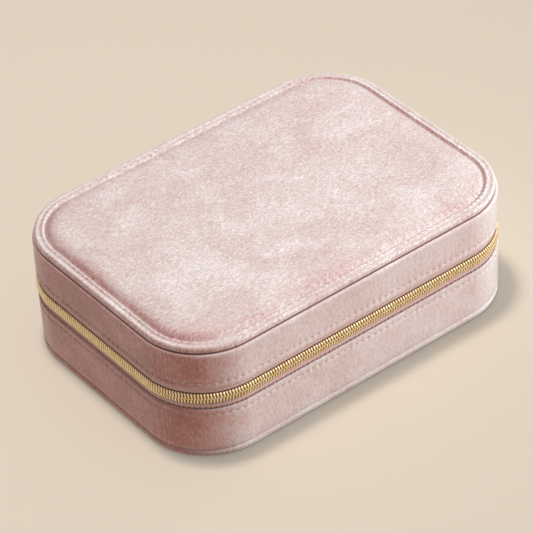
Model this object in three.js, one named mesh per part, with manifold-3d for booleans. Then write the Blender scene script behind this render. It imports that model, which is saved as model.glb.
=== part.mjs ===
// A zipped travel jewelry case: velvet over board, a gold coil zip round three sides, a cloth hinge at
// the back, ring rolls and compartments under an earring panel, a mirror and necklace straps in the lid.
// Millimetres. X runs along the long side, -Y is the front, +Z is up, and the origin is the middle of
// the underside. An inset is a distance inwards from the walls' outer face.
import * as THREE from "three";
import { mergeVertices } from "three/addons/utils/BufferGeometryUtils.js";
import Module from "manifold-3d";

const wasm = await Module();
wasm.setup();

// ---------------------------------------------------------------- driving dimensions
const LENGTH = 166.6;
const DEPTH = 118;
const CORNER_RADIUS = 27.9;
const GAP = 0.3; // kept between pieces that touch

const BASE_WALL_TOP = 23.4;
const LID_WALL_BOTTOM = 33.5;
const LID_WALL_TOP = 49.8;
const BOTTOM_PANEL = 2.7;
const WALL = 3; // board and velvet
const WALL_EDGE = 1; // the wall's thinner edge, which the zip tape is sewn behind
const EDGE_DEPTH = 4.2;
const RIM_INSET = 0.8;

const ZIP_CENTRE = 28.65;
const COIL_HEIGHT = 2.3;
const COIL_INNER = 1;
const COIL_OUTER = -1.4;
const TAPE_INNER = 1.8;
const TAPE_THICK = 0.5;
const TAPE_EDGE = 1.5; // from the zip's centre line to the tape's edge
const COIL_PARTING = 1.2; // how far each coil moves aside where the zip is open

const LINING_INSET = 3.3;
const LINING = 1.8;
const LINING_INNER = LINING_INSET + LINING;
const BASE_LINING_TOP = 28.2;
const LID_LINING_BOTTOM = 29;
const LID_BOARD_BOTTOM = 48.3;
const LID_PANEL = [46.4, 48];
const FLOOR_TOP = 4.6;

const HINGE_HALF = 50; // the cloth hinge runs this far each side of the middle
const SLIDER_Y = 24;
const SLIDER_LENGTH = 9;

const CORNER_STEPS = 6;

// ---------------------------------------------------------------- materials
const velvet = () => new THREE.MeshStandardMaterial({ color: 0xd9bdb7, roughness: 0.9, metalness: 0 });
const lining = () => new THREE.MeshStandardMaterial({ color: 0xe0c8c2, roughness: 0.9, metalness: 0 });
const tape = () => new THREE.MeshStandardMaterial({ color: 0xb48c8a, roughness: 0.85, metalness: 0 });
const gold = () => new THREE.MeshStandardMaterial({ color: 0xcda35c, roughness: 0.3, metalness: 1 });
const glass = () => new THREE.MeshStandardMaterial({ color: 0xe8ecef, roughness: 0.03, metalness: 1 });
const board = () => new THREE.MeshStandardMaterial({ color: 0xb6a48d, roughness: 0.95, metalness: 0 });
const foam = () => new THREE.MeshStandardMaterial({ color: 0xeee7da, roughness: 1, metalness: 0 });

// ---------------------------------------------------------------- solids and geometry
function toSolid(geometry) {
  const bare = geometry.clone();
  bare.deleteAttribute("normal");
  bare.deleteAttribute("uv");
  const merged = mergeVertices(bare, 1e-4);
  return new wasm.Manifold(
    new wasm.Mesh({
      numProp: 3,
      vertProperties: merged.attributes.position.array,
      triVerts: new Uint32Array(merged.index.array),
    }),
  );
}

function toGeometry(solid) {
  const { vertProperties, triVerts } = solid.getMesh();
  const geometry = new THREE.BufferGeometry();
  geometry.setAttribute("position", new THREE.BufferAttribute(vertProperties, 3));
  geometry.setIndex(new THREE.BufferAttribute(triVerts, 1));
  return geometry;
}

const joined = (...parts) => toGeometry(parts.map(toSolid).reduce((sum, part) => sum.add(part)));
const cut = (whole, ...tools) =>
  toGeometry(tools.map(toSolid).reduce((left, tool) => left.subtract(tool), toSolid(whole)));
const common = (a, b) => toGeometry(toSolid(a).intersect(toSolid(b)));

// A closed surface from points and triangles, turned so that its faces point out.
function surface(points, triangles) {
  const at = (i) => new THREE.Vector3(...points[i]);
  const volume = triangles.reduce((sum, [a, b, c]) => sum + at(a).dot(at(b).cross(at(c))), 0);
  const geometry = new THREE.BufferGeometry();
  geometry.setAttribute("position", new THREE.Float32BufferAttribute(points.flat(), 3));
  geometry.setIndex(triangles.map(([a, b, c]) => (volume < 0 ? [a, c, b] : [a, b, c])).flat());
  return geometry;
}

// A box from its lowest to its highest corner.
function box([x0, y0, z0], [x1, y1, z1]) {
  const geometry = new THREE.BoxGeometry(x1 - x0, y1 - y0, z1 - z0);
  return geometry.translate((x0 + x1) / 2, (y0 + y1) / 2, (z0 + z1) / 2);
}

// Extrudes a shape drawn in Y and Z along X, from x0 to x1.
function extrudeAlongX(shape, x0, x1, curveSegments = CORNER_STEPS) {
  const geometry = new THREE.ExtrudeGeometry(shape, { depth: x1 - x0, bevelEnabled: false, curveSegments });
  const axes = [new THREE.Vector3(0, 1, 0), new THREE.Vector3(0, 0, 1), new THREE.Vector3(1, 0, 0)];
  return geometry.applyMatrix4(new THREE.Matrix4().makeBasis(...axes)).translate(x0, 0, 0);
}

// Extrudes a shape drawn in X and Y upwards, from z0 to z1.
function extrudeUp(shape, z0, z1, curveSegments = CORNER_STEPS) {
  const options = { depth: z1 - z0, bevelEnabled: false, curveSegments };
  return new THREE.ExtrudeGeometry(shape, options).translate(0, 0, z0);
}

const polygon = (points) => new THREE.Shape(points.map(([x, y]) => new THREE.Vector2(x, y)));

// ---------------------------------------------------------------- outlines
const CASE = { halfX: LENGTH / 2, halfY: DEPTH / 2, radius: CORNER_RADIUS, steps: CORNER_STEPS };

// One rounded corner: stations with their outward normals, from one heading to another, in degrees.
function corner(outline, signX, signY, from, to) {
  const { halfX, halfY, radius, steps } = outline;
  return Array.from({ length: steps + 1 }, (_, i) => {
    const angle = THREE.MathUtils.degToRad(from + ((to - from) * i) / steps);
    const normal = [Math.cos(angle), Math.sin(angle)];
    return {
      x: signX * (halfX - radius) + radius * normal[0],
      y: signY * (halfY - radius) + radius * normal[1],
      normal,
      aside: 0,
    };
  });
}

// The whole outline, anticlockwise from the front right corner.
const loopStations = (outline) => [
  ...corner(outline, 1, -1, -90, 0),
  ...corner(outline, 1, 1, 0, 90),
  ...corner(outline, -1, 1, 90, 180),
  ...corner(outline, -1, -1, 180, 270),
];

// The zip's way round the case, from the hinge's right end past the slider, the front and the left side
// to the hinge's left end. aside is how far the zip has parted there.
function zipStations(parting, end = HINGE_HALF + GAP) {
  const back = (x) => ({ x, y: CASE.halfY, normal: [0, 1], aside: 0 });
  const side = (y, aside) => ({ x: CASE.halfX, y, normal: [1, 0], aside });
  const nose = SLIDER_Y + SLIDER_LENGTH / 4;
  const tail = SLIDER_Y - (SLIDER_LENGTH * 2) / 5;
  const open = corner(CASE, 1, 1, 90, 0).map((station) => ({ ...station, aside: parting }));
  return [
    back(end),
    ...open,
    side(nose, parting),
    side(tail, 0),
    ...corner(CASE, 1, -1, 0, -90),
    ...corner(CASE, -1, -1, 270, 180),
    ...corner(CASE, -1, 1, 180, 90),
    back(-end),
  ];
}

// Carries a closed profile of [inset, height] points past each station.
function sweep(stations, profile, closed) {
  const points = stations.flatMap(({ x, y, normal, aside }) =>
    profile.map(([inset, z]) => [x - normal[0] * inset, y - normal[1] * inset, z + aside]),
  );
  const wide = profile.length;
  const spans = closed ? stations.length : stations.length - 1;
  const triangles = [];
  for (let i = 0; i < spans; i += 1) {
    for (let j = 0; j < wide; j += 1) {
      const a = i * wide + j;
      const b = i * wide + ((j + 1) % wide);
      const c = ((i + 1) % stations.length) * wide + j;
      const d = ((i + 1) % stations.length) * wide + ((j + 1) % wide);
      triangles.push([a, c, b], [b, c, d]);
    }
  }
  if (closed) return surface(points, triangles);
  // The end faces follow the profile's own turn at the first station, and the other one at the last.
  const contour = profile.map(([inset, z]) => new THREE.Vector2(inset, z));
  const turn = Math.sign(THREE.ShapeUtils.area(contour));
  const last = (stations.length - 1) * wide;
  for (const face of THREE.ShapeUtils.triangulateShape(contour, [])) {
    const [a, b, c] = turn * THREE.ShapeUtils.area(face.map((i) => contour[i])) > 0 ? face : face.toReversed();
    triangles.push([a, b, c], [last + a, last + c, last + b]);
  }
  return surface(points, triangles);
}

// Stacks copies of the outline, each at its [inset, height], and closes the first and the last.
function stack(outline, rings) {
  const stations = loopStations(outline);
  const count = stations.length;
  const points = rings.flatMap(([inset, z]) =>
    stations.map(({ x, y, normal }) => [x - normal[0] * inset, y - normal[1] * inset, z]),
  );
  const triangles = [];
  for (let ring = 0; ring + 1 < rings.length; ring += 1) {
    for (let i = 0; i < count; i += 1) {
      const a = ring * count + i;
      const b = ring * count + ((i + 1) % count);
      triangles.push([a, b, a + count], [b, b + count, a + count]);
    }
  }
  const top = (rings.length - 1) * count;
  for (let i = 1; i + 1 < count; i += 1) {
    triangles.push([0, i + 1, i], [top, top + i, top + i + 1]);
  }
  return surface(points, triangles);
}

// ---------------------------------------------------------------- the scene graph
const jewelryCase = new THREE.Group();

function add(name, geometry, material) {
  const mesh = new THREE.Mesh(geometry, material);
  mesh.name = name;
  jewelryCase.add(mesh);
}

// ---------------------------------------------------------------- base: shell and lining
const loop = (profile) => sweep(loopStations(CASE), profile, true);
const FOLD = 0.4; // the rounding of a turned velvet edge

add(
  "base_bottom_panel",
  stack(CASE, [
    [1, 0],
    [0.3, 0.3],
    [0, 1],
    [0, BOTTOM_PANEL - 2 * FOLD],
    [FOLD, BOTTOM_PANEL],
  ]),
  velvet(),
);

const baseWallBottom = BOTTOM_PANEL + GAP;
const baseStep = BASE_WALL_TOP - EDGE_DEPTH;
add(
  "base_side_wall",
  loop([
    [WALL, baseWallBottom],
    [FOLD, baseWallBottom],
    [0, baseWallBottom + FOLD],
    [0, BASE_WALL_TOP - FOLD],
    [FOLD, BASE_WALL_TOP],
    [WALL_EDGE, BASE_WALL_TOP],
    [WALL_EDGE, baseStep],
    [WALL, baseStep],
  ]),
  velvet(),
);

const liningLoop = (bottom, top) =>
  loop([
    [LINING_INNER, bottom],
    [LINING_INSET, bottom],
    [LINING_INSET, top - FOLD],
    [LINING_INSET + FOLD, top],
    [LINING_INNER - FOLD, top],
    [LINING_INNER, top - FOLD],
  ]);
add("base_lining_wall", liningLoop(baseWallBottom, BASE_LINING_TOP), lining());

const insideWall = LINING_INNER + GAP;
add(
  "base_floor_pad",
  stack(CASE, [
    [insideWall, baseWallBottom],
    [insideWall, FLOOR_TOP - FOLD],
    [insideWall + FOLD, FLOOR_TOP],
  ]),
  lining(),
);

// ---------------------------------------------------------------- base: dividers and ring rolls
const floor = FLOOR_TOP + GAP;
const roomX = CASE.halfX - insideWall;
const roomY = CASE.halfY - insideWall;
const DIVIDER = 2;
const DIVIDER_TOP = 24.2;
const RING_DIVIDER_X = -26.5;
const CROSS_DIVIDER_Y = -4;
const SHORT_DIVIDER_X = 27;
const compartmentX = RING_DIVIDER_X + DIVIDER + GAP;

add(
  "ring_section_divider",
  box([RING_DIVIDER_X, -roomY, floor], [RING_DIVIDER_X + DIVIDER, roomY, DIVIDER_TOP]),
  lining(),
);
add(
  "cross_divider",
  box([compartmentX, CROSS_DIVIDER_Y, floor], [roomX, CROSS_DIVIDER_Y + DIVIDER, DIVIDER_TOP]),
  lining(),
);
const shortDividerFront = CROSS_DIVIDER_Y + DIVIDER + GAP;
add(
  "short_divider",
  box([SHORT_DIVIDER_X, shortDividerFront, floor], [SHORT_DIVIDER_X + DIVIDER, roomY, DIVIDER_TOP]),
  lining(),
);

// Foam rolls with round tops. A ring is pushed down between two of them.
const ROLLS = 7;
const ROLL_PITCH = (2 * roomY) / ROLLS;
const ROLL_WIDTH = ROLL_PITCH - 0.9;
const ROLL_TOP = 21.5;
const room = stack(CASE, [
  [insideWall, floor],
  [insideWall, BASE_LINING_TOP],
]);
for (let i = 0; i < ROLLS; i += 1) {
  const y = -roomY + (i + 0.5) * ROLL_PITCH;
  const half = ROLL_WIDTH / 2;
  const section = new THREE.Shape();
  section.moveTo(y - half, floor);
  section.lineTo(y + half, floor);
  section.lineTo(y + half, ROLL_TOP - half);
  section.absarc(y, ROLL_TOP - half, half, 0, Math.PI, false);
  const roll = extrudeAlongX(section, -roomX, RING_DIVIDER_X - GAP);
  add(`ring_roll_${i + 1}`, common(roll, room), lining());
}

// ---------------------------------------------------------------- zip
const tapeOuter = TAPE_INNER - TAPE_THICK;
const tapeBand = (low, high) => [
  [TAPE_INNER, low],
  [tapeOuter, low],
  [tapeOuter, high],
  [TAPE_INNER, high],
];
const lidStep = LID_WALL_BOTTOM + EDGE_DEPTH;
add(
  "zipper_tape_lower",
  sweep(zipStations(0), tapeBand(baseStep + GAP, ZIP_CENTRE - TAPE_EDGE), false),
  tape(),
);
add(
  "zipper_tape_upper",
  sweep(zipStations(0), tapeBand(ZIP_CENTRE + TAPE_EDGE, lidStep - GAP), false),
  tape(),
);

// One coil's half-round section, on the side of the centre line that side (1 or -1) gives.
function coilBand(side) {
  const near = ZIP_CENTRE + (side * GAP) / 2;
  const far = near + side * COIL_HEIGHT;
  return [
    [COIL_INNER, near],
    [COIL_OUTER, near],
    [COIL_OUTER, far - side * 1.4],
    [COIL_OUTER + 0.7, far - side * 0.3],
    [COIL_INNER - 0.8, far],
    [COIL_INNER, far],
  ];
}
const STOP_LENGTH = 2.4;
const coilEnd = HINGE_HALF + GAP + STOP_LENGTH + GAP;
for (const [name, side] of [["lower", -1], ["upper", 1]]) {
  const stations = zipStations(side * COIL_PARTING, coilEnd);
  stations[0].aside = 0;
  add(`zipper_coil_${name}`, sweep(stations, coilBand(side), false), gold());
}

// A small staple holds the two coils together at each end of the zip.
const STOP_HALF = 1.7;
for (const [name, side] of [["right", 1], ["left", -1]]) {
  const ends = [HINGE_HALF + GAP, HINGE_HALF + GAP + STOP_LENGTH].map((x) => side * x).toSorted((a, b) => a - b);
  add(
    `zipper_stop_${name}`,
    box(
      [ends[0], CASE.halfY - COIL_INNER, ZIP_CENTRE - STOP_HALF],
      [ends[1], CASE.halfY - COIL_OUTER, ZIP_CENTRE + STOP_HALF],
    ),
    gold(),
  );
}

// ---------------------------------------------------------------- slider and pull, on the right side wall
const wallX = CASE.halfX;
const TAIL_HALF = 3.4;
const NOSE_HALF = 4.5;
const PLATE_FACE = 1.8; // from the wall's face to the outer plate
const PLATE = 1;
const CROWN_X = 5.2; // from the wall's face to the middle of the bail's bar
const CROWN_HALF = [0.45, 0.6];

function sliderPlate(x0, x1, shrink) {
  const tail = SLIDER_Y - SLIDER_LENGTH / 2;
  const nose = SLIDER_Y + SLIDER_LENGTH / 2;
  const rise = (half) => half - shrink;
  const outline = [
    [tail, rise(TAIL_HALF) - 0.8],
    [tail + 0.8, rise(TAIL_HALF)],
    [nose - 2, rise(NOSE_HALF)],
    [nose - 0.6, rise(NOSE_HALF) - 0.5],
    [nose, rise(NOSE_HALF) - 2],
  ];
  const lower = outline.map(([y, z]) => [y, ZIP_CENTRE - z]);
  const upper = outline.map(([y, z]) => [y, ZIP_CENTRE + z]).toReversed();
  return extrudeAlongX(polygon([...lower, ...upper]), wallX + x0, wallX + x1);
}

function sliderFlange(side) {
  const tail = SLIDER_Y - SLIDER_LENGTH / 2 + 0.8;
  const nose = SLIDER_Y + SLIDER_LENGTH / 2 - 2;
  const thick = 0.5;
  const points = [
    [tail, TAIL_HALF - thick],
    [nose, NOSE_HALF - thick],
    [nose, NOSE_HALF],
    [tail, TAIL_HALF],
  ].map(([y, z]) => [y, ZIP_CENTRE + side * z]);
  return extrudeAlongX(polygon(points), wallX - 0.8, wallX + PLATE_FACE + PLATE / 2);
}

function zipperSlider() {
  const post = polygon([
    [SLIDER_Y + 2.4, ZIP_CENTRE],
    [SLIDER_Y + 3.4, ZIP_CENTRE - 0.95],
    [SLIDER_Y + 4.4, ZIP_CENTRE - 0.5],
    [SLIDER_Y + 4.4, ZIP_CENTRE + 0.5],
    [SLIDER_Y + 3.4, ZIP_CENTRE + 0.95],
  ]);
  const plateBack = -TAPE_INNER - GAP; // the inner plate's face, behind the tape
  const archLow = wallX + PLATE_FACE + PLATE / 2;
  const archTop = wallX + CROWN_X + CROWN_HALF[0];
  const barHalf = CROWN_HALF[1];
  const arch = box(
    [archLow, SLIDER_Y - 3.6, ZIP_CENTRE - barHalf],
    [archTop, SLIDER_Y + 3, ZIP_CENTRE + barHalf],
  );
  const archWindow = box(
    [archLow - 1, SLIDER_Y - 2.6, ZIP_CENTRE - barHalf - 1],
    [archTop - 2 * CROWN_HALF[0], SLIDER_Y + 2, ZIP_CENTRE + barHalf + 1],
  );
  return joined(
    sliderPlate(PLATE_FACE, PLATE_FACE + PLATE, 0),
    sliderPlate(plateBack - 0.8, plateBack, 0.9),
    sliderFlange(1),
    sliderFlange(-1),
    extrudeAlongX(post, wallX + plateBack - 0.2, wallX + PLATE_FACE + 0.2),
    cut(arch, archWindow),
  );
}
add("zipper_slider", zipperSlider(), gold());

// An oval link hangs from the bail's bar, and the flat tab hangs from the link.
const WIRE = 0.45;
const LINK = { halfX: 1.4, halfY: 2.9, radius: 1.35, steps: 4 };
const linkTop = ZIP_CENTRE + CROWN_HALF[1] + 0.2; // the link's inner top
const linkMiddle = linkTop + WIRE - LINK.halfY;
const wire = Array.from({ length: 8 }, (_, i) => {
  const angle = (i * Math.PI) / 4;
  return [WIRE * Math.cos(angle), WIRE * Math.sin(angle)];
});
add(
  "pull_link",
  sweep(loopStations(LINK), wire, true)
    .rotateX(Math.PI / 2)
    .translate(wallX + CROWN_X, SLIDER_Y, linkMiddle),
  gold(),
);

const TAB = { thick: 1.2, halfWidth: 3.1, neck: 1.9, hole: 1.05, length: 19 };
function pullTab() {
  const wireHeight = linkMiddle - LINK.halfY;
  const holeZ = wireHeight - (TAB.hole - WIRE - 0.1);
  const tip = holeZ - TAB.length;
  const shape = new THREE.Shape();
  shape.absarc(SLIDER_Y, holeZ, TAB.neck, 0, Math.PI, false);
  shape.lineTo(SLIDER_Y - TAB.halfWidth, holeZ - 5);
  shape.absarc(SLIDER_Y, tip + TAB.halfWidth, TAB.halfWidth, Math.PI, 2 * Math.PI, false);
  shape.lineTo(SLIDER_Y + TAB.halfWidth, holeZ - 5);
  const hole = new THREE.Path();
  hole.absarc(SLIDER_Y, holeZ, TAB.hole, 0, 2 * Math.PI, true);
  shape.holes.push(hole);
  const middle = wallX + CROWN_X;
  return extrudeAlongX(shape, middle - TAB.thick / 2, middle + TAB.thick / 2, 5);
}
add("pull_tab", pullTab(), gold());

// ---------------------------------------------------------------- cloth hinges
add(
  "hinge_panel",
  box(
    [-HINGE_HALF, CASE.halfY - 1.2, BASE_WALL_TOP + GAP],
    [HINGE_HALF, CASE.halfY - 0.2, LID_WALL_BOTTOM - GAP],
  ),
  velvet(),
);

// ---------------------------------------------------------------- earring panel
const PANEL = [DIVIDER_TOP + 0.4, DIVIDER_TOP + 2.6];
const PANEL_BACK = 51;
const panelSide = roomX - 0.6;
function earringPanel() {
  const left = compartmentX + 0.4;
  const front = -roomY + 0.6;
  const small = 4;
  const large = CORNER_RADIUS - insideWall;
  const shape = new THREE.Shape();
  shape.moveTo(left + small, front);
  shape.lineTo(panelSide - large, front);
  shape.absarc(panelSide - large, front + large, large, -Math.PI / 2, 0, false);
  shape.absarc(panelSide - large, PANEL_BACK - large, large, 0, Math.PI / 2, false);
  shape.lineTo(left, PANEL_BACK);
  shape.lineTo(left, front + small);
  shape.absarc(left + small, front + small, small, Math.PI, 1.5 * Math.PI, false);
  const rows = 4;
  const pairs = 5;
  for (let row = 0; row < rows; row += 1) {
    for (let pair = 0; pair < pairs; pair += 1) {
      const x = -10 + pair * 17;
      const y = -32 + row * 21;
      for (const side of [-1, 1]) {
        const hole = new THREE.Path();
        hole.absarc(x + side * 3.5, y, 0.9, 0, 2 * Math.PI, true);
        shape.holes.push(hole);
      }
    }
  }
  return extrudeUp(shape, PANEL[0], PANEL[1], 3);
}
add("earring_panel", earringPanel(), lining());
add(
  "earring_panel_ribbon",
  box([20, -roomY + 4, PANEL[1] + GAP], [30, -roomY + 17, PANEL[1] + GAP + 0.6]),
  tape(),
);
add(
  "earring_panel_hinge",
  box([compartmentX + 4, PANEL_BACK + GAP, PANEL[0]], [CASE.halfX - CORNER_RADIUS, roomY, PANEL[1]]),
  lining(),
);

// ---------------------------------------------------------------- lid: shell and padded top
add(
  "lid_side_wall",
  loop([
    [WALL, lidStep],
    [WALL_EDGE, lidStep],
    [WALL_EDGE, LID_WALL_BOTTOM],
    [FOLD, LID_WALL_BOTTOM],
    [0, LID_WALL_BOTTOM + FOLD],
    [0, LID_WALL_TOP - FOLD],
    [FOLD, LID_WALL_TOP],
    [WALL, LID_WALL_TOP],
  ]),
  velvet(),
);
add(
  "lid_lining_wall",
  loop([
    [LINING_INNER, LID_PANEL[1]],
    [LINING_INSET, LID_PANEL[1]],
    [LINING_INSET, LID_LINING_BOTTOM + FOLD],
    [LINING_INSET + FOLD, LID_LINING_BOTTOM],
    [LINING_INNER - FOLD, LID_LINING_BOTTOM],
    [LINING_INNER, LID_LINING_BOTTOM + FOLD],
  ]),
  lining(),
);
add(
  "lid_top_board",
  stack(CASE, [
    [WALL + GAP, LID_BOARD_BOTTOM],
    [WALL + GAP, LID_WALL_TOP],
  ]),
  board(),
);

// The velvet cover, from its hollow's ceiling out under its hem, over the rim, down into the stitched
// groove and up on to the padded middle.
const coverBottom = LID_WALL_TOP + GAP;
const foamInset = 7.4;
add(
  "lid_top_cover",
  stack(CASE, [
    [9.2, 53.1],
    [foamInset - 0.3, 52.5],
    [foamInset - 0.4, coverBottom],
    [RIM_INSET + 1.2, coverBottom],
    [RIM_INSET + 0.3, coverBottom + 0.4],
    [RIM_INSET, coverBottom + 1.2],
    [RIM_INSET + 0.2, coverBottom + 1.9],
    [RIM_INSET + 0.9, coverBottom + 2.5],
    [RIM_INSET + 2, coverBottom + 2.7],
    [RIM_INSET + 3.5, coverBottom + 2.5],
    [RIM_INSET + 4.3, coverBottom + 1.9],
    [RIM_INSET + 4.9, coverBottom + 1.9],
    [RIM_INSET + 5.8, coverBottom + 2.9],
    [RIM_INSET + 7.8, coverBottom + 3.6],
    [RIM_INSET + 11.7, coverBottom + 4],
    [RIM_INSET + 17.2, coverBottom + 4.15],
  ]),
  velvet(),
);
add(
  "lid_top_foam",
  stack(CASE, [
    [foamInset, coverBottom],
    [foamInset, 52.1],
    [9.6, 52.7],
  ]),
  foam(),
);
add(
  "lid_lining_panel",
  stack(CASE, [
    [insideWall + FOLD, LID_PANEL[0]],
    [insideWall, LID_PANEL[0] + FOLD],
    [insideWall, LID_PANEL[1]],
  ]),
  lining(),
);

// ---------------------------------------------------------------- lid: mirror, necklace straps and pocket
const hang = LID_PANEL[0] - GAP; // the highest that a piece under the lid's panel reaches
const MIRROR = { halfX: 30, halfY: 41, radius: 5, steps: 4 };
const MIRROR_X = -40;
add(
  "mirror_glass",
  stack(MIRROR, [
    [0, hang - 1.5],
    [0, hang],
  ]).translate(MIRROR_X, 0, 0),
  glass(),
);
add(
  "mirror_bezel",
  sweep(
    loopStations(MIRROR),
    [
      [-GAP, hang],
      [-2.3, hang],
      [-2.3, hang - 2],
      [-1.8, hang - 2.5],
      [1.5, hang - 2.5],
      [1.5, hang - 1.8],
      [-GAP, hang - 1.8],
    ],
    true,
  ).translate(MIRROR_X, 0, 0),
  gold(),
);

// Three velvet straps fold over a chain and snap to the lid.
const STRAP = { root: -47, length: 14, half: 4, low: 44.2, high: 45 };
const SNAP_Y = STRAP.root + 10;
for (const [i, x] of [16, 36, 56].entries()) {
  const shape = new THREE.Shape();
  shape.moveTo(x + STRAP.half, STRAP.root);
  shape.lineTo(x + STRAP.half, STRAP.root + STRAP.length - STRAP.half);
  shape.absarc(x, STRAP.root + STRAP.length - STRAP.half, STRAP.half, 0, Math.PI, false);
  shape.lineTo(x - STRAP.half, STRAP.root);
  add(`necklace_strap_${i + 1}`, extrudeUp(shape, STRAP.low, STRAP.high, 5), velvet());
  const cap = new THREE.LatheGeometry(
    [[0, 0], [2.4, 0], [2.4, -0.3], [1.5, -0.8], [0, -1]].map(([r, z]) => new THREE.Vector2(r, z)).toReversed(),
    12,
  );
  add(
    `snap_cap_${i + 1}`,
    cap.rotateX(Math.PI / 2).translate(x, SNAP_Y, STRAP.low - GAP),
    gold(),
  );
  const studHeight = hang - STRAP.high - GAP;
  add(
    `snap_stud_${i + 1}`,
    new THREE.CylinderGeometry(1.6, 2, studHeight, 12)
      .rotateX(-Math.PI / 2)
      .translate(x, SNAP_Y, hang - studHeight / 2),
    gold(),
  );
}

// A gathered pocket against the lid's panel, open towards the front.
const POCKET = { x: [8, 70], y: [8, 45], low: 40.6, cloth: 0.9 };
const pocketHollow = box(
  [POCKET.x[0] + POCKET.cloth, POCKET.y[0] - 1, POCKET.low + POCKET.cloth],
  [POCKET.x[1] - POCKET.cloth, POCKET.y[1] - POCKET.cloth, hang + 1],
);
add(
  "elastic_pocket",
  cut(box([POCKET.x[0], POCKET.y[0], POCKET.low], [POCKET.x[1], POCKET.y[1], hang]), pocketHollow),
  lining(),
);

export default jewelryCase;
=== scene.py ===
# %% [markdown]
# # A velvet travel jewelry case
# The case is a board box covered in short velvet, closed by a gold coil zip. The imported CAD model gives
# every place and size, so this file starts from it and only makes what the eye sees: cloth that is turned
# over and stitched, a zip with real turns, and metal with soft edges. All lengths here are written in
# millimetres and multiplied by MM, because Blender works in metres.

# %% Load the frame
import math

import bmesh
import bpy
from mathutils import Matrix, Vector, noise


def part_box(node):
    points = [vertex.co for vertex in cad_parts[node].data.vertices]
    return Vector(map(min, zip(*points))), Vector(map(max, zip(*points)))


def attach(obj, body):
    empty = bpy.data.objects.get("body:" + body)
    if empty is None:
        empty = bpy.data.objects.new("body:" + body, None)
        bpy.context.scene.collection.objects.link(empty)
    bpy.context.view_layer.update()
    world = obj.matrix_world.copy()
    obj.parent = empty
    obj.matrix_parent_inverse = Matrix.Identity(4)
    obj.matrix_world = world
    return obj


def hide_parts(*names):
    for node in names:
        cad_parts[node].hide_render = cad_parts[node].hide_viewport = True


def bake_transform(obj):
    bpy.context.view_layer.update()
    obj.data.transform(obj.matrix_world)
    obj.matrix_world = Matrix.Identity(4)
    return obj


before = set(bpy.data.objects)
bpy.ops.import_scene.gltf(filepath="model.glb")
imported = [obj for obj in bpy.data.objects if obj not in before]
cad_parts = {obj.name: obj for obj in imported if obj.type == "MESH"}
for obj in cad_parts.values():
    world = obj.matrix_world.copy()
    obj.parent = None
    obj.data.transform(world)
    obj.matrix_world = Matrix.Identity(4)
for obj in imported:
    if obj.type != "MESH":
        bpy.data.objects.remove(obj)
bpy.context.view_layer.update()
MM = 0.001
SCENE = bpy.context.scene
print("CAD nodes:", len(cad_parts))


# %% [markdown]
# ## Sizes
# A few of them give the whole case: the walls' outer face and the levels where they end at the zip.

# %% Read the levels from the frame
def low(node, axis=2):
    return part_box(node)[0][axis] / MM


def high(node, axis=2):
    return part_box(node)[1][axis] / MM


def extent(node, axis=2):
    return low(node, axis), high(node, axis)


def middle_of(node, axis):
    return (low(node, axis) + high(node, axis)) / 2


HALF_X = high("base_side_wall", 0)
HALF_Y = high("base_side_wall", 1)
CORNER = 27.9
BASE_LOW, BASE_TOP = extent("base_side_wall")
LID_LOW, LID_TOP = extent("lid_side_wall")
ZIP = (high("zipper_tape_lower") + low("zipper_tape_upper")) / 2
HINGE_END = high("hinge_panel", 0)
print("half sizes", round(HALF_X, 2), round(HALF_Y, 2), "zip at", round(ZIP, 2))


# %% [markdown]
# ## The plan shape
# Every wall, lining, tape and rim follows the same rounded rectangle at its own inset. A point on it is
# found by walking clockwise from the middle of the back: each straight leg and each quarter turn takes its
# share of the distance. An inset moves a point straight inwards, so the pieces stay parallel.

# %% Walk round a rounded rectangle
class Outline:
    def __init__(self, half_x, half_y, radius, middle=(0, 0)):
        self.radius = radius
        self.middle = Vector(middle)
        cx, cy = half_x - radius, half_y - radius
        turn = radius * math.pi / 2
        self.legs = [
            (cx, (0, cy), (1, 0), 90), (turn, (cx, cy), None, 90),
            (2 * cy, (cx, cy), (0, -1), 0), (turn, (cx, -cy), None, 0),
            (2 * cx, (cx, -cy), (-1, 0), -90), (turn, (-cx, -cy), None, -90),
            (2 * cy, (-cx, -cy), (0, 1), -180), (turn, (-cx, cy), None, -180),
            (cx, (-cx, cy), (1, 0), -270),
        ]
        self.length = sum(leg[0] for leg in self.legs)

    def walk(self, distance, inset=0.0):
        """The point and the outward direction at a distance along the outline."""
        left = distance % self.length
        for length, start, along, heading in self.legs:
            if left <= length:
                break
            left -= length
        angle = math.radians(heading - (0 if along else 90 * left / length))
        out = Vector((math.cos(angle), math.sin(angle)))
        core = Vector(start) + Vector(along or (0, 0)) * left
        return core + out * (self.radius - inset) + self.middle, out


CASE = Outline(HALF_X, HALF_Y, CORNER)
ZIP_START = HINGE_END + 0.3
ZIP_END = CASE.length - ZIP_START


def reached_slider(distance):
    point, out = CASE.walk(distance)
    return out.x > 0.999 and point.y <= middle_of("zipper_slider", 1)


SLIDER_AT = next(step * 0.1 for step in range(2000) if reached_slider(step * 0.1))
print("round the case:", round(CASE.length, 1), "mm, slider at", round(SLIDER_AT, 1))

# %% [markdown]
# ## Swept pieces
# A wall is one section carried round the outline. It starts as a circle of edges, whose vertices remember
# their distance along. Each point of the section extrudes the ring to that inset and height, and a bridge
# or a cap closes the surface. A ripple may nudge a vertex, which gives a stitched seam its puckers.

# %% Sweep a section round the case
def to_mesh(name, bm):
    mesh = bpy.data.meshes.new(name)
    bm.to_mesh(mesh)
    bm.free()
    return mesh


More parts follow.
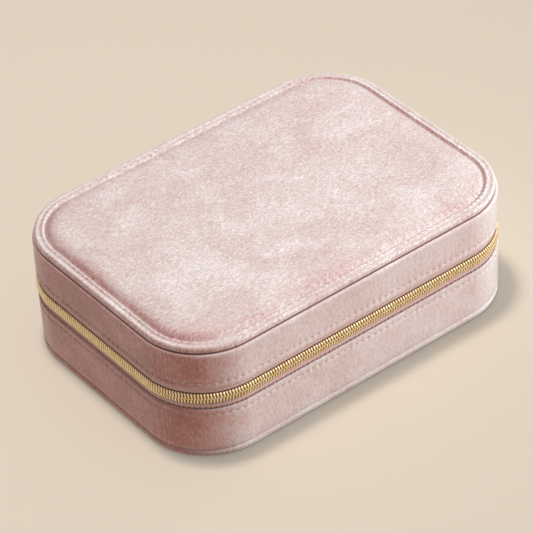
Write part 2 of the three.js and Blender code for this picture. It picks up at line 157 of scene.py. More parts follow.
def finish_piece(name, bm, material, body=None, stands_for=None):
    bmesh.ops.remove_doubles(bm, verts=bm.verts, dist=1e-7)
    bmesh.ops.recalc_face_normals(bm, faces=bm.faces)
    for face in bm.faces:
        face.smooth = True
    piece = bpy.data.objects.new(name, to_mesh(name, bm))
    SCENE.collection.objects.link(piece)
    piece.data.materials.append(material)
    if body:
        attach(piece, body)
    if stands_for:
        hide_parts(stands_for)
    return piece


def sweep(outline, section, span=None, spacing=0.8, ends="bridge", ripple=None, aside=None):
    """ends is bridge for a section that closes on itself, or caps for one that ends in two flat faces."""
    start, stop = span or (0, outline.length)
    count = max(16, round((stop - start) / spacing))
    bm = bmesh.new()
    along = bm.verts.layers.float.new("along")
    bmesh.ops.create_circle(bm, segments=count, radius=1)
    bm.verts.ensure_lookup_table()
    for i, vert in enumerate(bm.verts):
        vert[along] = start + (stop - start) * i / (count - 1 if span else count)
    if span:
        ends_met = [e for e in bm.edges if abs(e.verts[0][along] - e.verts[1][along]) > spacing * 3]
        bmesh.ops.delete(bm, geom=ends_met, context="EDGES")

    def put(verts, inset, z):
        for vert in verts:
            distance = vert[along]
            push, lift = ripple(distance, inset, z) if ripple else (0, 0)
            point, _ = outline.walk(distance, inset - push)
            lift += aside(distance) if aside else 0
            vert.co = Vector((point.x, point.y, z + lift)) * MM

    put(bm.verts, *section[0])
    first = edges = list(bm.edges)
    for inset, z in section[1:]:
        grown = bmesh.ops.extrude_edge_only(bm, edges=edges)["geom"]
        edges = [g for g in grown if isinstance(g, bmesh.types.BMEdge)]
        put([g for g in grown if isinstance(g, bmesh.types.BMVert)], inset, z)
    if ends == "bridge":
        bmesh.ops.bridge_loops(bm, edges=first + edges)
    else:
        bmesh.ops.contextual_create(bm, geom=first)
        bmesh.ops.contextual_create(bm, geom=edges)
    if span:
        bmesh.ops.holes_fill(bm, edges=[e for e in bm.edges if e.is_boundary], sides=0)
    return bm


def rounded(points, radius, steps=4):
    """The same closed section with its corners rounded."""
    result = []
    for i, point in enumerate(points):
        here = Vector(point)
        before = Vector(points[i - 1]) - here
        after = Vector(points[(i + 1) % len(points)]) - here
        reach = min(radius, before.length * 0.49, after.length * 0.49)
        if reach < 1e-3:
            result.append(tuple(here))
            continue
        a, b = here + before.normalized() * reach, here + after.normalized() * reach
        for k in range(steps + 1):
            t = k / steps
            result.append(tuple(a * (1 - t) ** 2 + here * 2 * t * (1 - t) + b * t ** 2))
    return result


# %% [markdown]
# ## Cloth that catches the light
# Velvet is short pile standing on a woven ground, deep rose in its depth and paler at the tips. The nap
# group paints light and shade by the face's own direction: faces that look right, front or up get a pale
# tone, as painted light and sheen, and faces that look left or back get a deep rose, as painted shade. Then
# it adds strokes of pile and slow patches where a hand has passed. It reads Object coordinates, so nothing
# slides.

# %% Node helpers
def link(tree, a, b):
    tree.links.new(a, b)


def add_node(tree, kind, **inputs):
    node = tree.nodes.new(kind)
    for key, value in inputs.items():
        node.inputs[key.replace("_", " ")].default_value = value
    return node


def object_noise(tree, **inputs):
    """The Fac of a noise that reads Object coordinates."""
    node = add_node(tree, "ShaderNodeTexNoise", **inputs)
    texture = tree.nodes.new("ShaderNodeTexCoord")
    link(tree, texture.outputs["Object"], node.inputs["Vector"])
    return node.outputs["Fac"]


def maths(tree, operation, a, b):
    node = tree.nodes.new("ShaderNodeMath")
    node.operation = operation
    for socket, value in zip(node.inputs, (a, b)):
        if isinstance(value, (int, float)):
            socket.default_value = value
        else:
            link(tree, value, socket)
    return node.outputs[0]


def vector_maths(tree, operation, a, b):
    node = tree.nodes.new("ShaderNodeVectorMath")
    node.operation = operation
    link(tree, a, node.inputs[0])
    node.inputs[1].default_value = b
    return node


def new_group(name, inputs, outputs):
    group = bpy.data.node_groups.new(name, "ShaderNodeTree")
    for label, value in inputs.items():
        kind = "NodeSocketVector" if label in ("Vector", "Facing") else "NodeSocketFloat"
        socket = group.interface.new_socket(label, in_out="INPUT", socket_type=kind)
        if value is not None:
            socket.default_value = value
    for label in outputs:
        group.interface.new_socket(label, in_out="OUTPUT", socket_type="NodeSocketFloat")
    return group, group.nodes.new("NodeGroupInput"), group.nodes.new("NodeGroupOutput")


def place_group(tree, group, coordinate, **inputs):
    node = tree.nodes.new("ShaderNodeGroup")
    node.node_tree = group
    texture = tree.nodes.new("ShaderNodeTexCoord")
    link(tree, texture.outputs[coordinate], node.inputs["Vector"])
    for key, value in inputs.items():
        node.inputs[key.replace("_", " ")].default_value = value
    return node


# %% The nap group, which also paints light and shade by face direction
def build_nap_and_light():
    group, source, sink = new_group(
        "velvet_nap_and_painted_light",
        {"Vector": None, "Facing": None, "Brushed": 1.0, "Tone": 0.32, "Strokes": 1.0, "Drift": 1.0},
        ("Tone", "Height"),
    )
    swirl = add_node(group, "ShaderNodeTexNoise", Scale=70.0, Detail=1.0)
    link(group, source.outputs["Vector"], swirl.inputs["Vector"])
    bent = vector_maths(group, "MULTIPLY_ADD", swirl.outputs["Color"], (0.004, 0.004, 0.004))
    link(group, source.outputs["Vector"], bent.inputs[2])
    strokes = 0
    for scale, weight in (((900, 1900, 560), 0.55), ((2600, 2600, 2000), 0.3), ((420, 800, 200), 0.15)):
        stretched = vector_maths(group, "MULTIPLY", bent.outputs[0], scale)
        pile = add_node(group, "ShaderNodeTexNoise", Scale=1.0, Detail=2.0, Roughness=0.6)
        link(group, stretched.outputs[0], pile.inputs["Vector"])
        strokes = maths(group, "ADD", strokes, maths(group, "MULTIPLY", pile.outputs["Fac"], weight))
    split = group.nodes.new("ShaderNodeSeparateXYZ")
    link(group, source.outputs["Vector"], split.inputs[0])
    rib = maths(group, "SINE", maths(group, "MULTIPLY", split.outputs[0], 2 * math.pi / 0.00062), 0)
    strokes = maths(group, "ADD", strokes, maths(group, "MULTIPLY", rib, 0.035))
    patch = add_node(group, "ShaderNodeTexNoise", Scale=42.0, Detail=4.0, Roughness=0.55, Distortion=0.8)
    link(group, source.outputs["Vector"], patch.inputs["Vector"])
    # Painted light and shade: the tone rises for faces turned up or towards the lamp on the right and
    # front, and falls for faces turned away.
    light_lean = vector_maths(group, "DOT_PRODUCT", source.outputs["Facing"], (0.49, -0.23, 0.36))
    painted_light = maths(group, "MULTIPLY", light_lean.outputs["Value"], source.outputs["Brushed"])
    tone = maths(group, "ADD", maths(group, "MAXIMUM", painted_light, -0.21), source.outputs["Tone"])
    grain = maths(group, "MULTIPLY", maths(group, "SUBTRACT", strokes, 0.5), source.outputs["Strokes"])
    uneven = maths(group, "SUBTRACT", patch.outputs["Fac"], 0.5)
    drift = maths(group, "MULTIPLY", uneven, source.outputs["Drift"])
    varied = maths(group, "ADD", grain, maths(group, "MULTIPLY", drift, 0.7))
    link(group, maths(group, "ADD", tone, varied), sink.inputs["Tone"])
    link(group, strokes, sink.inputs["Height"])
    return group


NAP_AND_LIGHT = build_nap_and_light()


# %% [markdown]
# The weave group is for tape and ribbon. Ribs run across the band, and a second wave crosses them, so a
# close look shows yarns.

# %% The weave group
def build_weave():
    group, source, sink = new_group(
        "woven_ribs", {"Vector": None, "Rib": 0.6, "Cross": 0.5}, ("Shade", "Height")
    )
    split = group.nodes.new("ShaderNodeSeparateXYZ")
    link(group, source.outputs["Vector"], split.inputs[0])

    def wave(coordinate, pitch):
        turns = maths(group, "DIVIDE", 2 * math.pi * 1000, pitch)
        return maths(group, "SINE", maths(group, "MULTIPLY", coordinate, turns), 0)

    ribs = wave(split.outputs[0], source.outputs["Rib"])
    cross = wave(split.outputs[1], source.outputs["Cross"])
    both = maths(group, "MULTIPLY", maths(group, "ADD", ribs, maths(group, "MULTIPLY", cross, 0.7)), 0.29)
    fuzz = add_node(group, "ShaderNodeTexNoise", Scale=900.0, Detail=2.0)
    link(group, source.outputs["Vector"], fuzz.inputs["Vector"])
    height = maths(group, "ADD", both, 0.5)
    link(group, height, sink.inputs["Height"])
    link(group, maths(group, "ADD", maths(group, "MULTIPLY", height, 0.6),
                      maths(group, "MULTIPLY", fuzz.outputs["Fac"], 0.4)), sink.inputs["Shade"])
    return group


WEAVE = build_weave()


# %% [markdown]
# ## Finishes
# Each finish is one Principled shader. What varies over the surface comes through a colour ramp or a bump.
# What is the same all over, such as sheen, is a plain number on the shader.

# %% Make the finishes
def new_material(name, **constants):
    material = bpy.data.materials.new(name)
    material.use_nodes = True
    tree = material.node_tree
    shader = tree.nodes["Principled BSDF"]
    for key, value in constants.items():
        shader.inputs[key.replace("_", " ")].default_value = value
    return material, tree, shader


def ramp(tree, fac, stops):
    node = tree.nodes.new("ShaderNodeValToRGB")
    elements = node.color_ramp.elements
    for element, (at, colour) in zip(elements, stops):
        element.position = at
        element.color = (*colour, 1)
    for at, colour in stops[2:]:
        elements.new(at).color = (*colour, 1)
    link(tree, fac, node.inputs[0])
    return node.outputs[0]


def paint(tree, shader, fac, stops):
    link(tree, ramp(tree, fac, stops), shader.inputs["Base Color"])


def bump(tree, shader, height, distance):
    node = add_node(tree, "ShaderNodeBump", Strength=1.0, Distance=distance * MM)
    link(tree, height, node.inputs["Height"])
    link(tree, node.outputs[0], shader.inputs["Normal"])


# The ramp runs from a deep rose used as painted shade to a near white painted sheen, with the velvet's own
# rose between.
PILE_AND_PAINTED_LIGHT = [
    (0.0, (0.40, 0.17, 0.155)), (1.0, (0.93, 0.92, 0.92)), (0.14, (0.58, 0.27, 0.255)),
    (0.38, (0.61, 0.42, 0.41)), (0.55, (0.67, 0.545, 0.54)), (0.70, (0.71, 0.60, 0.595)),
]


def velvet(name, painted_light=1.0, tone=0.31, strokes=1.25, drift=0.75, depth=0.3, groove_shade=0.0):
    material, tree, shader = new_material(
        name, Roughness=0.8, Sheen_Weight=1.0, Sheen_Roughness=0.45, Sheen_Tint=(0.95, 0.97, 1.0, 1),
        Specular_IOR_Level=0.25,
    )
    nap_and_light = place_group(tree, NAP_AND_LIGHT, "Object", Brushed=painted_light, Tone=tone, Strokes=strokes, Drift=drift)
    texture = tree.nodes.new("ShaderNodeTexCoord")
    link(tree, texture.outputs["Normal"], nap_and_light.inputs["Facing"])
    # Painted shade beside the groove: an attribute on the piece lowers the tone there.
    if groove_shade:
        band = tree.nodes.new("ShaderNodeAttribute")
        band.attribute_name = "groove_shade"
        dip = maths(tree, "MULTIPLY", band.outputs["Fac"], -groove_shade)
        link(tree, maths(tree, "ADD", dip, tone), nap_and_light.inputs["Tone"])
    paint(tree, shader, nap_and_light.outputs["Tone"], PILE_AND_PAINTED_LIGHT)
    bump(tree, shader, nap_and_light.outputs["Height"], depth)
    return material


def woven(name, dark, pale, rib, cross, roughness=0.75):
    material, tree, shader = new_material(name, Roughness=roughness, Sheen_Weight=0.2)
    weave = place_group(tree, WEAVE, "UV", Rib=rib, Cross=cross)
    paint(tree, shader, weave.outputs["Shade"], [(0.25, dark), (0.75, pale)])
    bump(tree, shader, weave.outputs["Height"], 0.12)
    return material


def plated(name, dull, bright, roughness, metallic=1.0):
    material, tree, shader = new_material(name, Metallic=metallic)
    wear = object_noise(tree, Scale=420.0, Detail=4.0, Roughness=0.6)
    paint(tree, shader, wear, [(0.3, dull), (0.7, bright)])
    spread = maths(tree, "MULTIPLY", wear, 0.16)
    link(tree, maths(tree, "ADD", spread, roughness - 0.08), shader.inputs["Roughness"])
    bump(tree, shader, wear, 0.03)
    return material


# Each velvet sets how strongly light and shade are painted by face direction: fully outside, a quarter on
# the lining.
BLUSH = velvet("blush_velvet")
LINING = velvet("lining_velvet", painted_light=0.25, tone=0.42, drift=0.6)
TAPE = woven("zip_tape_weave", (0.50, 0.30, 0.29), (0.74, 0.53, 0.51), 0.55, 0.8)
RIBBON = woven("satin_ribbon", (0.55, 0.35, 0.33), (0.72, 0.52, 0.50), 0.5, 4.0, roughness=0.45)
GOLD = plated("gold_plate", (0.80, 0.55, 0.24), (0.90, 0.67, 0.35), 0.22)
COIL_GOLD = plated("metallised_coil", (0.90, 0.66, 0.32), (1.0, 0.89, 0.64), 0.36, metallic=0.6)
# The cover paints light and shade by direction more weakly, from a paler tone, so its top stays as pale and
# its small slopes darken less.
COVER = velvet("cover_velvet", painted_light=0.6, tone=0.44, strokes=2.5, drift=1.0, depth=0.35, groove_shade=0.17)


def thread(name, dark, pale):
    material, tree, shader = new_material(name, Roughness=0.55, Sheen_Weight=0.4)
    twist = object_noise(tree, Scale=2600.0, Detail=1.0)
    paint(tree, shader, twist, [(0.35, dark), (0.65, pale)])
    return material


# Painted shadow: a near black strip along the coil's outer edge.
COIL_SHADOW_STRIP = thread("coil_painted_shadow", (0.035, 0.012, 0.008), (0.07, 0.03, 0.02))
# The coil's back, in a brown darker than the gold: partly its own colour, partly painted shade.
SHADED_UNDERSIDE = thread("coil_underside_shaded", (0.46, 0.26, 0.09), (0.62, 0.40, 0.17))
# A near black red seam cord: partly the seam, partly painted shade in the crease under the rim.
RIM_SEAM_SHADE = thread("rim_seam_shade", (0.15, 0.035, 0.03), (0.25, 0.08, 0.07))
THREAD = thread("sewing_thread", (0.60, 0.40, 0.385), (0.82, 0.66, 0.64))
# Painted shade: dark dashes for the shadows of the puckered fold under the lower tape.
PUCKER_SHADE = thread("tape_pucker_shade", (0.24, 0.06, 0.07), (0.34, 0.11, 0.12))
print("finishes made:", len(bpy.data.materials))

# %% [markdown]
# ## The walls
# Each wall is a board strip in velvet. The velvet turns over at the zip, so the edge there is round
# and stands a little proud, and a row of stitches just under 3 mm in pulls it into a shallow channel.
# Between two stitches the cloth puffs out again. The channel is part of the section, and the puffs are a
# ripple along it.

# %% Wall sections
STITCH = 3.0
CHANNEL = 0.34


def near(value, centre, width):
    return math.exp(-(((value - centre) / width) ** 2))


def wall_ripple(row, edge):
    """Puckers at the stitched row, and a slow unevenness that cloth over board has."""
    def ripple(distance, inset, z):
        if inset > 0.9:
            return 0, 0
        unevenness = 0.7 + noise.noise(Vector((distance / 7, 1.2, 0.4)))
        beat = math.cos(2 * math.pi * distance / STITCH) * unevenness
        pucker = 0.17 * beat * near(z, row, 0.8) + 0.05 * beat * near(z, edge, 0.9)
        slow = 0.10 * noise.noise(Vector((distance / 17, z / 9, 3.1)))
        return pucker + slow * (0.4 + 0.6 * near(inset, 0, 0.3)), 0
    return ripple


def wall_section(free_end, sewn_end, row):
    """Inset and height, from the sewn end up or down the outside to the turned edge and back inside."""
    way = 1 if free_end > sewn_end else -1
    outside = [(0.9, sewn_end), (0.35, sewn_end + way * 0.12), (0.06, sewn_end + way * 0.55)]
    span = abs(free_end - sewn_end)
    outside += [(-0.02, sewn_end + way * d) for d in (2, 4, 6, 8, 10, 12, 14, 16) if d < span - 5]
    dip = [(-1.3, 0.0), (-0.7, 0.10), (-0.25, 0.8), (0, 1), (0.25, 0.8), (0.7, 0.1), (1.2, -0.1)]
    outside += [(depth * CHANNEL, row + way * offset) for offset, depth in dip]
    outside += [(-0.05, free_end - way * 0.9), (0.0, free_end - way * 0.45), (0.16, free_end - way * 0.12)]
    outside += [(0.45, free_end), (0.85, free_end - way * 0.05), (1.0, free_end - way * 0.4)]
    inside = [(1.0, free_end - way * 4.1), (3.0, free_end - way * 4.2), (3.0, sewn_end)]
    return outside + inside


BASE_ROW = BASE_TOP - 2.8
LID_ROW = LID_LOW + 2.6
for name, body, free_end, sewn_end, row in (
    ("base_wall_velvet", "base", BASE_TOP, BASE_LOW, BASE_ROW),
    ("lid_wall_velvet", "lid", LID_LOW, LID_TOP, LID_ROW),
):
    section = wall_section(free_end, sewn_end, row)
    bm = sweep(CASE, section, spacing=0.6, ripple=wall_ripple(row, free_end))
    wall = finish_piece(name, bm, BLUSH, body, body + "_side_wall")
    print(name, len(wall.data.polygons), "faces")

# %% [markdown]
# ## The lid's padded top and the bottom panel
# The top is one velvet panel over foam. A row of stitches 5 mm in from its edge makes a rounded rim, then a
# narrow groove, and the foam swells up behind it. The section goes from the hollow that the foam fills, out
# under the hem, over the rim and on to the pad. The bottom panel is the same without the foam.

# %% The top cover
COVER_LOW = low("lid_top_cover")
GROOVE = 5.35


def cover_ripple(distance, inset, z):
    if z < COVER_LOW + 0.5:
        return 0, 0
    unevenness = 0.5 + noise.noise(Vector((distance / 5, 2.2, 0.4)))
    beat = math.cos(2 * math.pi * distance / STITCH) * unevenness
    pucker = 0.24 * beat * near(inset, GROOVE - 1.1, 0.6) + 0.17 * beat * near(inset, GROOVE + 1.2, 0.9)
    slow = 0.16 * noise.noise(Vector((distance / 26, inset / 12, 7.7)))
    fade = min(1, max(0, (25 - inset) / 8))
    return 0, pucker + slow * (1 - near(inset, 0.8, 1.5)) * fade


def up(*pairs):
    return [(inset, COVER_LOW + z) for inset, z in pairs]


cover_hem = up(
    (9.2, 3.0), (7.1, 2.4), (7.0, 0.0), (2.0, 0.0), (1.5, 0.08), (1.1, 0.35), (0.88, 0.8), (0.8, 1.25)
)
cover_rim = up(
    (0.82, 1.75), (0.98, 2.2), (1.3, 2.55), (1.75, 2.7), (2.25, 2.66), (2.8, 2.5), (3.3, 2.48),
    (3.75, 2.68), (4.15, 2.88), (4.55, 2.8)
)
cover_groove = up(
    (4.85, 2.45), (5.1, 2.05), (5.35, 1.85), (5.65, 1.9), (6.0, 2.25), (6.4, 2.65), (6.9, 3.08)
)
cover_pad = up(
    (7.9, 3.45), (9.4, 3.7), (11.0, 3.86), (13.5, 3.98), (16.5, 4.06), (20.0, 4.1), (23.0, 4.12),
    (26.0, 4.12)
)
cover_section = cover_hem + cover_rim + cover_groove + cover_pad
bm = sweep(CASE, cover_section, spacing=0.6, ends="caps", ripple=cover_ripple)
cover = finish_piece("lid_cover_velvet", bm, COVER, "lid", "lid_top_cover")

# %% [markdown]
# Just inside the groove, where the pad starts to rise, the cover is painted darker as shade. An attribute
# on the cover says how much painted shade each point gets, from its inset, and the cover's finish reads it.

# %% Mark the painted shade beside the groove, then make the rim's seam with its painted shade, and the bottom
groove_shade_layer = cover.data.attributes.new("groove_shade", "FLOAT", "POINT")
for vert, value in zip(cover.data.vertices, groove_shade_layer.data):
    across = abs(vert.co.x) / MM - HALF_X + CORNER
    along = abs(vert.co.y) / MM - HALF_Y + CORNER
    inset = CORNER - math.hypot(max(across, 0), max(along, 0)) - min(max(across, along), 0)
    value.value = near(inset, 7.6, 2.2) * (0.95 + 0.3 * noise.noise(vert.co * 90))

# The seam under the rim is a dark cord: partly the real seam, partly painted shade in the crease where the
# rim overhangs the wall.
seam_shade = up((0.92, -0.7), (0.95, 0.35), (1.5, 0.2), (1.5, -0.1), (2.6, -0.1), (2.6, -0.25))
bm = sweep(CASE, rounded(seam_shade, 0.1, 1), spacing=1.2)
finish_piece("lid_rim_seam_shade", bm, RIM_SEAM_SHADE, "lid")

bottom = high("base_bottom_panel")
panel_section = [(1.6, 0.0), (0.8, 0.06), (0.3, 0.35), (0.05, 0.9), (0.02, bottom - 1)]
panel_section += [(0.12, bottom - 0.4), (0.5, bottom - 0.05), (1.2, bottom), (3.0, bottom)]
bm = sweep(CASE, panel_section, spacing=1.0, ends="caps")
panel = finish_piece("bottom_panel_velvet", bm, BLUSH, "base", "base_bottom_panel")
print("cover", len(cover.data.polygons), "faces, bottom", len(panel.data.polygons))

# %% [markdown]
# ## Stitches
# A stitch is a short length of thread that dives into the cloth at both ends. One small capsule is copied
# along each row by walking the outline.

# %% Scatter copies of one small mesh
def scatter(template, places):
    """places are matrices. Returns one bmesh with a copy of the template at each."""
    bm = bmesh.new()
    for place in places:
        start = len(bm.verts)
        bm.from_mesh(template)
        bm.verts.ensure_lookup_table()
        bmesh.ops.transform(bm, matrix=place, verts=bm.verts[start:])
    return bm


def along_frame(outline, distance, inset, z, turn=0.0):
    """A matrix in metres whose X runs along the outline, Y up and Z outwards."""
    point, out = outline.walk(distance, inset)
    outwards = Vector((out.x, out.y, 0))
    forwards = Vector((out.y, -out.x, 0))
    axes = Matrix((forwards, Vector((0, 0, 1)), outwards)).transposed().to_4x4()
    spot = Matrix.Translation(Vector((point.x, point.y, z)) * MM)
    return spot @ axes @ Matrix.Rotation(turn, 4, "Z")


def capsule(length, thick):
    bm = bmesh.new()
    bmesh.ops.create_uvsphere(bm, u_segments=6, v_segments=5, radius=0.5 * MM)
    bmesh.ops.rotate(bm, verts=bm.verts, cent=(0, 0, 0), matrix=Matrix.Rotation(math.pi / 2, 3, "Y"))
    bmesh.ops.scale(bm, verts=bm.verts, vec=(length, thick, thick))
    return to_mesh("capsule", bm)


def stitch_row(name, body, inset, z, material=THREAD, span=None, pitch=STITCH, size=(2.3, 0.42), turn=0.0):
    template = capsule(*size)
    start, stop = span or (0, CASE.length)
    count = int((stop - start) / pitch)
    step = (stop - start) / count
    places = [along_frame(CASE, start + (i + 0.5) * step, inset, z, turn) for i in range(count)]
    row = finish_piece(name, scatter(template, places), material, body)
    print(name, count, "stitches")
    return row


stitch_row("base_wall_stitches", "base", 0.16, BASE_ROW, turn=0.12)
stitch_row("lid_wall_stitches", "lid", 0.16, LID_ROW, turn=0.12)
stitch_row("lid_cover_stitches", "lid", GROOVE - 0.1, COVER_LOW + 1.8, size=(2.3, 0.6), turn=0.1)

# %% [markdown]
# ## The zip
# The tapes are woven strips that come out from behind the turned velvet. Each coil is a nylon thread wound
# round and round and metallised: seen from outside, every turn is a short slanted bar that ends in a head
# on the centre line. The two coils sit half a turn apart, so that their heads interlock. Past the slider
# the zip is open, and the coils stand apart.

# %% Tapes
SLIDER_NOSE = SLIDER_AT - 2.3
SLIDER_TAIL = SLIDER_AT + 3.6


def parting(distance):
    """How far each coil is moved aside: fully from the hinge end to the slider's nose, then not at all."""
    opened = min(1, (distance - ZIP_START) / 5)
    closing = min(1, max(0, (SLIDER_TAIL - distance) / (SLIDER_TAIL - SLIDER_NOSE)))
    return 1.2 * max(0, opened) * closing


def give_band_uv(piece, outline):
    """UV in metres: u along the outline, v up, so that a weave follows the band round the corners."""
    mesh = piece.data
    along = mesh.attributes["along"].data
    uv = mesh.uv_layers.new(name="band").data
    for polygon in mesh.polygons:
        values = [along[mesh.loops[i].vertex_index].value for i in polygon.loop_indices]
        wraps = max(values) - min(values) > outline.length / 2
        for i, value in zip(polygon.loop_indices, values):
            u = value + (outline.length if wraps and value < outline.length / 2 else 0)
            uv[i].uv = (u * MM, mesh.vertices[mesh.loops[i].vertex_index].co.z)


def give_plain_uv(piece):
    """UV in metres from X and Y, for small flat bands that lie level."""
    mesh = piece.data
    uv = mesh.uv_layers.new(name="band").data
    for loop in mesh.loops:
        place = mesh.vertices[loop.vertex_index].co
        uv[loop.index].uv = (place.x, place.y)


for name, body in (("lower", "base"), ("upper", "lid")):
    node = "zipper_tape_" + name
    side = 1 if body == "lid" else -1
    inner, outer = ZIP + side * 1.5, (high(node) if side > 0 else low(node))
    edge = LID_LOW - 0.3 if side > 0 else BASE_TOP + 0.3
    out = 0.55 if side > 0 else 0.3
    section = [(1.1, inner), (0.85, ZIP + side * 2.4), (out, edge - side * 1.1), (0.8, edge)]
    section += [(1.3, edge + side * 0.8), (1.3, outer), (1.8, outer), (1.8, edge), (1.6, inner)]
    bm = sweep(CASE, rounded(section, 0.12, 2), span=(ZIP_START, ZIP_END), spacing=1.2)
    strip = finish_piece("zip_tape_" + name, bm, TAPE, body, node)
    give_band_uv(strip, CASE)

# %% [markdown]
# One turn is a bent wire, given as points from the tape to the head. It is slimmer at the head than along
# its back, which leaves room for the other coil's heads on both sides. A brown strip under the turns is the
# coil's back, darker than the gold as painted shade between the turns; a near black strip above them is
# painted shadow.

# %% Coils
PITCH = 1.23
WIRE = 0.84
BAR = [(1.0, 2.25, -0.1), (0.95, 2.05, 0.3), (0.62, 1.4, 0.66), (0.25, 0.7, 0.86), (-0.1, 0.1, 0.88),
       (-0.2, -0.08, 0.66), (-0.22, -0.14, 0.35)]
SLIM = [0.72, 1, 1, 0.85, 0.66, 0.66, 0.6]
HEAD = 0.2
LEAN = {1: 0.5, -1: 0.05}


def coil_bar(side):
    """One turn as it shows: a bent wire whose X runs along the zip, Y away from the centre, Z outwards."""
    bm = bmesh.new()
    points = [Vector(((x + HEAD) * LEAN[side], side * y, z)) for x, y, z in BAR]
    for i, point in enumerate(points):
        ahead = (points[min(i + 1, len(points) - 1)] - points[max(i - 1, 0)]).normalized()
        turn = ahead.to_track_quat("Z", "X").to_matrix().to_4x4()
        size = WIRE / 2 * SLIM[i]
        bmesh.ops.create_circle(bm, segments=6, radius=size, matrix=Matrix.Translation(point) @ turn)
        if i:
            bm.edges.ensure_lookup_table()
            bmesh.ops.bridge_loops(bm, edges=bm.edges[-6:] + previous)
            bm.edges.ensure_lookup_table()
        previous = [e for e in bm.edges if all(abs((v.co - point).length - size) < 1e-4 for v in e.verts)]
    bmesh.ops.holes_fill(bm, edges=[e for e in bm.edges if e.is_boundary], sides=0)
    bmesh.ops.recalc_face_normals(bm, faces=bm.faces)
    bmesh.ops.scale(bm, verts=bm.verts, vec=(MM, MM, MM))
    return to_mesh("coil_bar", bm)


STOP = 2.7
for name, body, side in (("lower", "base", -1), ("upper", "lid", 1)):
    template = coil_bar(side)
    count = int((ZIP_END - ZIP_START - 2 * STOP) / PITCH)
    places = []
    for i in range(count):
        distance = ZIP_START + STOP + (i + (0.5 if side > 0 else 0)) * PITCH
        places.append(along_frame(CASE, distance, 0.72, ZIP + side * parting(distance)))
    bm = scatter(template, places)
    bars = finish_piece("zip_coil_" + name, bm, COIL_GOLD, body, "zipper_coil_" + name)
    print(name, "coil:", count, "turns,", len(bars.data.polygons), "faces")

    for label, shape, material in (
        ("shaded_underside", [(1.15, 0.02), (0.78, 0.02), (0.78, 2.3), (1.15, 2.3)], SHADED_UNDERSIDE),
        ("painted_shadow", [(1.1, 2.15), (0.6, 2.2), (0.56, 2.7), (1.1, 2.8)], COIL_SHADOW_STRIP),
    ):
        section = rounded([(inset, ZIP + side * z) for inset, z in shape], 0.1, 1)
        bm = sweep(CASE, section, span=(ZIP_START + STOP, ZIP_END - STOP), spacing=1.2,
                   aside=lambda distance, side=side: side * parting(distance))
        finish_piece("zip_coil_" + label + "_" + name, bm, material, body)

# %% [markdown]
# Just above the turned velvet of the base, a row of short slanted dark dashes is painted shade, the shadows
# of the puckered fold where the lower tape goes in.

# %% Painted pucker shade on the tape
stitch_row("zip_tape_pucker_shade", "base", 0.36, BASE_TOP + 0.85, material=PUCKER_SHADE,
           span=(ZIP_START + 1, ZIP_END - 1), pitch=2.1, size=(1.75, 0.5), turn=0.42)

# %% [markdown]
# ## The cloth hinge
# Between the two ends of the zip the lid hangs on a strip of velvet, glued behind both walls. It bends as
# the lid opens, so it is a fine grid.

# %% Hinge strip
def cloth_strip(name, span_x, rows, thickness, material, columns=60, bulge=0.0):
    """A strip along X through a list of (y, z) rows, thickened afterwards."""
    bm = bmesh.new()
    bmesh.ops.create_grid(bm, x_segments=columns, y_segments=len(rows) - 1, size=0.5, calc_uvs=False)
    for vert in bm.verts:
        place = (vert.co.y + 0.5) * (len(rows) - 1)
        y, z = rows[min(round(place), len(rows) - 1)]
        x = span_x[0] + (span_x[1] - span_x[0]) * (vert.co.x + 0.5)
        wave = bulge * noise.noise(Vector((x / 14, z / 4, 0.7)))
        vert.co = Vector((x, y + wave, z)) * MM
    bmesh.ops.solidify(bm, geom=list(bm.faces), thickness=thickness * MM)
    return finish_piece(name, bm, material)


def half_area(piece):
    return sum(p.area for p in piece.data.polygons) / 2


hinge_y = middle_of("hinge_panel", 1)
hinge_low, hinge_high = low("hinge_panel") - 0.2, high("hinge_panel") + 0.2
shares = [i / 18 for i in range(19)]
rows = [(hinge_y + 0.35 * math.sin(math.pi * t), hinge_low + (hinge_high - hinge_low) * t) for t in shares]
hinge = cloth_strip("hinge_velvet", (-HINGE_END, HINGE_END), rows, 0.8, BLUSH, bulge=0.12)
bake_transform(hinge)
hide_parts("hinge_panel")
print("hinge strip area", round(half_area(hinge) * 1e6), "mm2")

# %% [markdown]
# ## Softened copies
# The CAD has the right size for the straps, dividers, slider and small metal parts, but their edges are
# knife sharp. A copy is merged into one closed skin, cleared of needless edges, and its sharp edges get a
# small round bevel. Weighted normals keep the flats flat.

# %% Softened copy of a CAD node
SHARP = math.radians(35)


def merged_copy(node):
    bm = bmesh.new()
    bm.from_mesh(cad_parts[node].data)
    bmesh.ops.remove_doubles(bm, verts=bm.verts, dist=2e-6)
    return bm


def softened_copy(node, body, material, width, segments=3):
    bm = merged_copy(node)
    bmesh.ops.dissolve_limit(bm, angle_limit=math.radians(0.5), verts=bm.verts, edges=bm.edges)
    edges = [e for e in bm.edges if len(e.link_faces) == 2 and e.calc_face_angle(0) > SHARP]
    bmesh.ops.bevel(bm, geom=edges, offset=width * MM, offset_type="OFFSET", segments=segments, profile=0.5,
                    affect="EDGES", clamp_overlap=True, material=-1)
    piece = finish_piece(node + "_finished", bm, material, body, node)
    weighted = piece.modifiers.new("flats stay flat", "WEIGHTED_NORMAL")
    weighted.keep_sharp = False
    return piece


for node, body, width in (
    ("zipper_slider", "slider", 0.22), ("pull_link", "pull", 0.1), ("pull_tab", "pull", 0.28),
    ("zipper_stop_right", "base", 0.4), ("zipper_stop_left", "base", 0.4),
):
    part = softened_copy(node, body, GOLD, width)
    print(part.name, len(part.data.polygons), "faces")

# %% [markdown]
# ## Lining and dividers
# Inside, thin velvet-covered boards stand against the walls, and three more divide the floor. Each has a
# soft top edge. The floor pad and the lid's panel have a thin foam behind them, so they crown a little.

